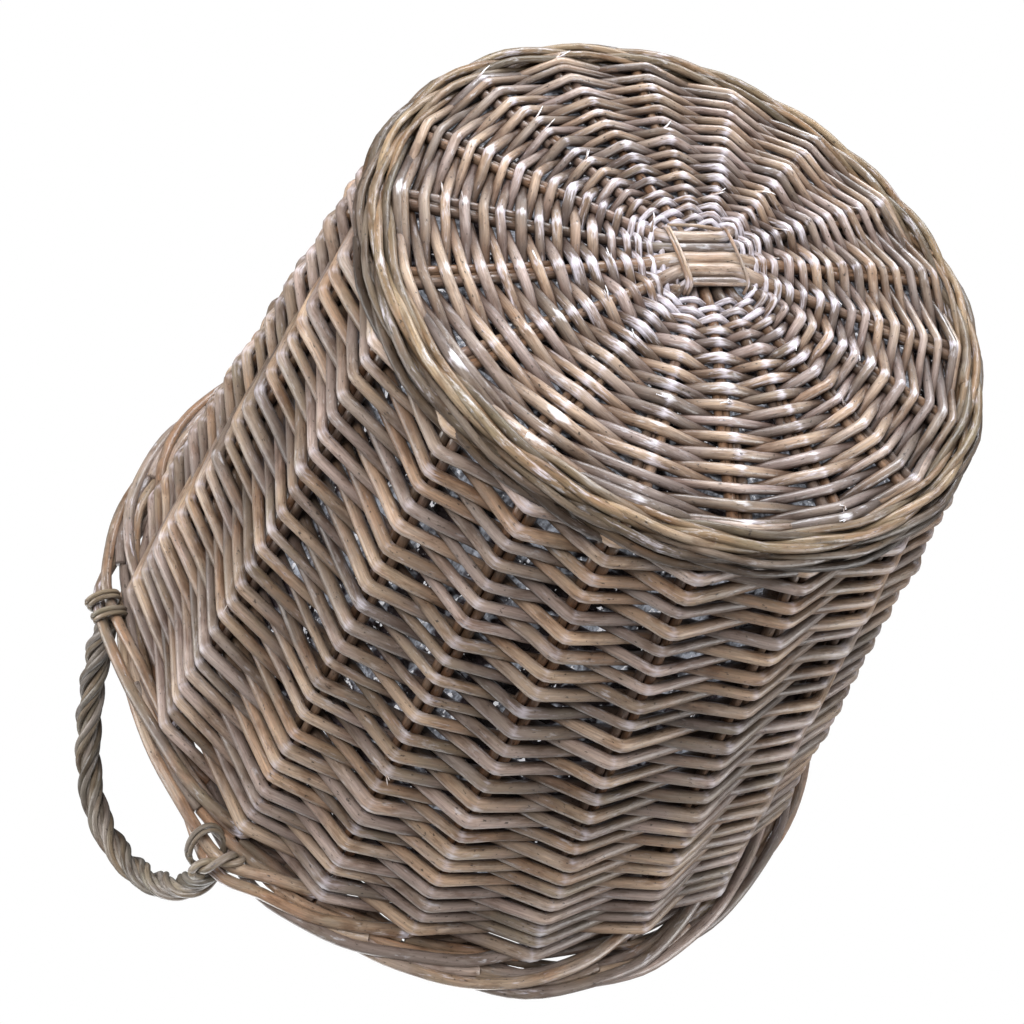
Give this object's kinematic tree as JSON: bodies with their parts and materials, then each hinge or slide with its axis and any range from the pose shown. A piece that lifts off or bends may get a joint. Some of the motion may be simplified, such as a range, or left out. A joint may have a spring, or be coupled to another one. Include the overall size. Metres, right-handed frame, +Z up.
{
  "type": "willow planter basket",
  "caption": "Round flared willow basket woven on doubled stakes, with a bent-over border, a clear film liner and twisted rope handles that swing on the border.",
  "frame": {"origin": "centre of the foot on the ground", "axes": "+Z up out of the mouth, X through the middles of the two handles"},
  "size_m": [0.5582, 0.5379, 0.5257],
  "materials": {
    "willow_stake": "matt dark bark",
    "willow_weathered": "weathered bark, satin on the bends",
    "willow_wale": "satin, stripped",
    "willow_base": "satin, pale bark",
    "willow_rope": "matt grey-green bark",
    "clear_film": "glossy clear film"
  },
  "bodies": {
    "basket": {"stake_01": "willow_stake", "stake_02": "willow_stake", "stake_03": "willow_stake", "stake_04": "willow_stake", "stake_05": "willow_stake", "stake_06": "willow_stake", "stake_07": "willow_stake", "stake_08": "willow_stake", "stake_09": "willow_stake", "stake_10": "willow_stake", "stake_11": "willow_stake", "stake_12": "willow_stake", "stake_13": "willow_stake", "stake_14": "willow_stake", "stake_15": "willow_stake", "stake_16": "willow_stake", "stake_17": "willow_stake", "stake_18": "willow_stake", "stake_19": "willow_stake", "stake_20": "willow_stake", "stake_21": "willow_stake", "wall_weave_1": "willow_weathered", "wall_weave_2": "willow_weathered", "wall_weave_3": "willow_weathered", "wall_weave_4": "willow_weathered", "wall_weave_5": "willow_weathered", "foot_wale_1": "willow_wale", "foot_wale_2": "willow_wale", "foot_wale_3": "willow_wale", "foot_wale_4": "willow_wale", "base_stick_1": "willow_base", "base_stick_2": "willow_base", "base_stick_3": "willow_base", "base_stick_4": "willow_base", "base_stick_5": "willow_base", "base_stick_6": "willow_base", "base_stick_7": "willow_base", "base_stick_8": "willow_base", "base_stick_9": "willow_base", "base_weaver_1": "willow_base", "base_weaver_2": "willow_base", "slath_tie": "willow_base", "liner": "clear_film"},
    "handle_a": {"handle_a_rope": "willow_rope", "handle_a_loop_1": "willow_rope", "handle_a_loop_2": "willow_rope", "handle_a_loop_3": "willow_rope", "handle_a_loop_4": "willow_rope"},
    "handle_b": {"handle_b_rope": "willow_rope", "handle_b_loop_1": "willow_rope", "handle_b_loop_2": "willow_rope", "handle_b_loop_3": "willow_rope", "handle_b_loop_4": "willow_rope"}
  },
  "joints": [
    {"name": "handle_a_swing", "type": "hinge", "parent": "basket", "child": "handle_a", "pos_m": [0.24617, 0, 0.38936], "axis": [0, 1, 0], "range_deg": [-30, 55]},
    {"name": "handle_b_swing", "type": "hinge", "parent": "basket", "child": "handle_b", "pos_m": [-0.24617, 0, 0.38936], "axis": [0, -1, 0], "range_deg": [-30, 55]}
  ]
}
